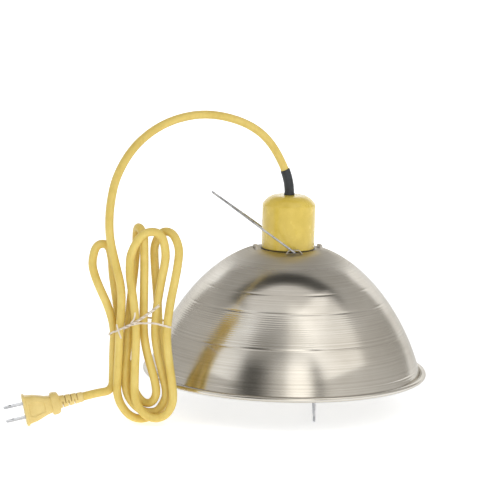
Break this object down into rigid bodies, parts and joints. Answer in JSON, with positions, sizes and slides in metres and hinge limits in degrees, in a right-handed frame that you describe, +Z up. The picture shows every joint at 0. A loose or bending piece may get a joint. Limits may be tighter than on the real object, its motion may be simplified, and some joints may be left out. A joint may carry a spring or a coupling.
{
  "type": "heat lamp fixture",
  "caption": "Spun aluminium reflector with a lampholder housing on its crown, a wire hanger, a wire bulb guard across its mouth and a tied yellow mains cord.",
  "frame": {"origin": "on the floor, under the middle of the lamp, where the bulb guard stands", "axes": "+Z up along the lamp axis, -X towards the hank and the plug, -Y towards the near side of the hank"},
  "size_m": [0.3864, 0.267, 0.2791],
  "materials": {
    "reflector_aluminium": "spun and polished",
    "housing_plastic": "gloss moulded",
    "gasket_rubber": "matt",
    "porcelain": "unglazed to semi gloss",
    "brass_parts": "bright",
    "plated_steel": "zinc plated",
    "boot_rubber": "matt moulded",
    "cord_jacket": "satin vinyl",
    "conductor_black": "satin vinyl",
    "conductor_white": "satin vinyl",
    "plug_plastic": "satin vinyl",
    "tie_paper": "coated twist tie"
  },
  "bodies": {
    "lamp": {"reflector": "reflector_aluminium", "housing_gasket": "gasket_rubber", "socket_housing": "housing_plastic", "porcelain_body": "porcelain", "screw_shell": "brass_parts", "contact_foot": "brass_parts", "contact_rivet": "brass_parts", "shell_rivet": "brass_parts", "line_terminal": "brass_parts", "neutral_terminal": "plated_steel", "terminal_screws": "brass_parts", "mounting_screws": "plated_steel", "cord_boot": "boot_rubber", "cord_in_boot": "cord_jacket", "cord_crimp_collar": "brass_parts", "line_conductor": "conductor_black", "neutral_conductor": "conductor_white", "bulb_guard": "plated_steel", "cord_arch": "cord_jacket", "cord_hank": "cord_jacket", "cord_tail": "cord_jacket", "hank_tie": "tie_paper", "plug_body": "plug_plastic", "plug_blade_line": "plated_steel", "plug_blade_neutral": "plated_steel"},
    "hanger": {"hanger_bail": "plated_steel"},
    "contact": {"centre_contact": "brass_parts"}
  },
  "joints": [
    {"name": "hanger_swing", "type": "hinge", "parent": "lamp", "child": "hanger", "pos_m": [0, 0, 0.1489], "axis": [0.1736, -0.9848, 0], "range_deg": [-38, 34]},
    {"name": "contact_press", "type": "hinge", "parent": "lamp", "child": "contact", "pos_m": [0.0061, 0, 0.16845], "axis": [0, 1, 0], "range_deg": [0, 9], "stiffness_Nm_per_rad": 0.06}
  ]
}
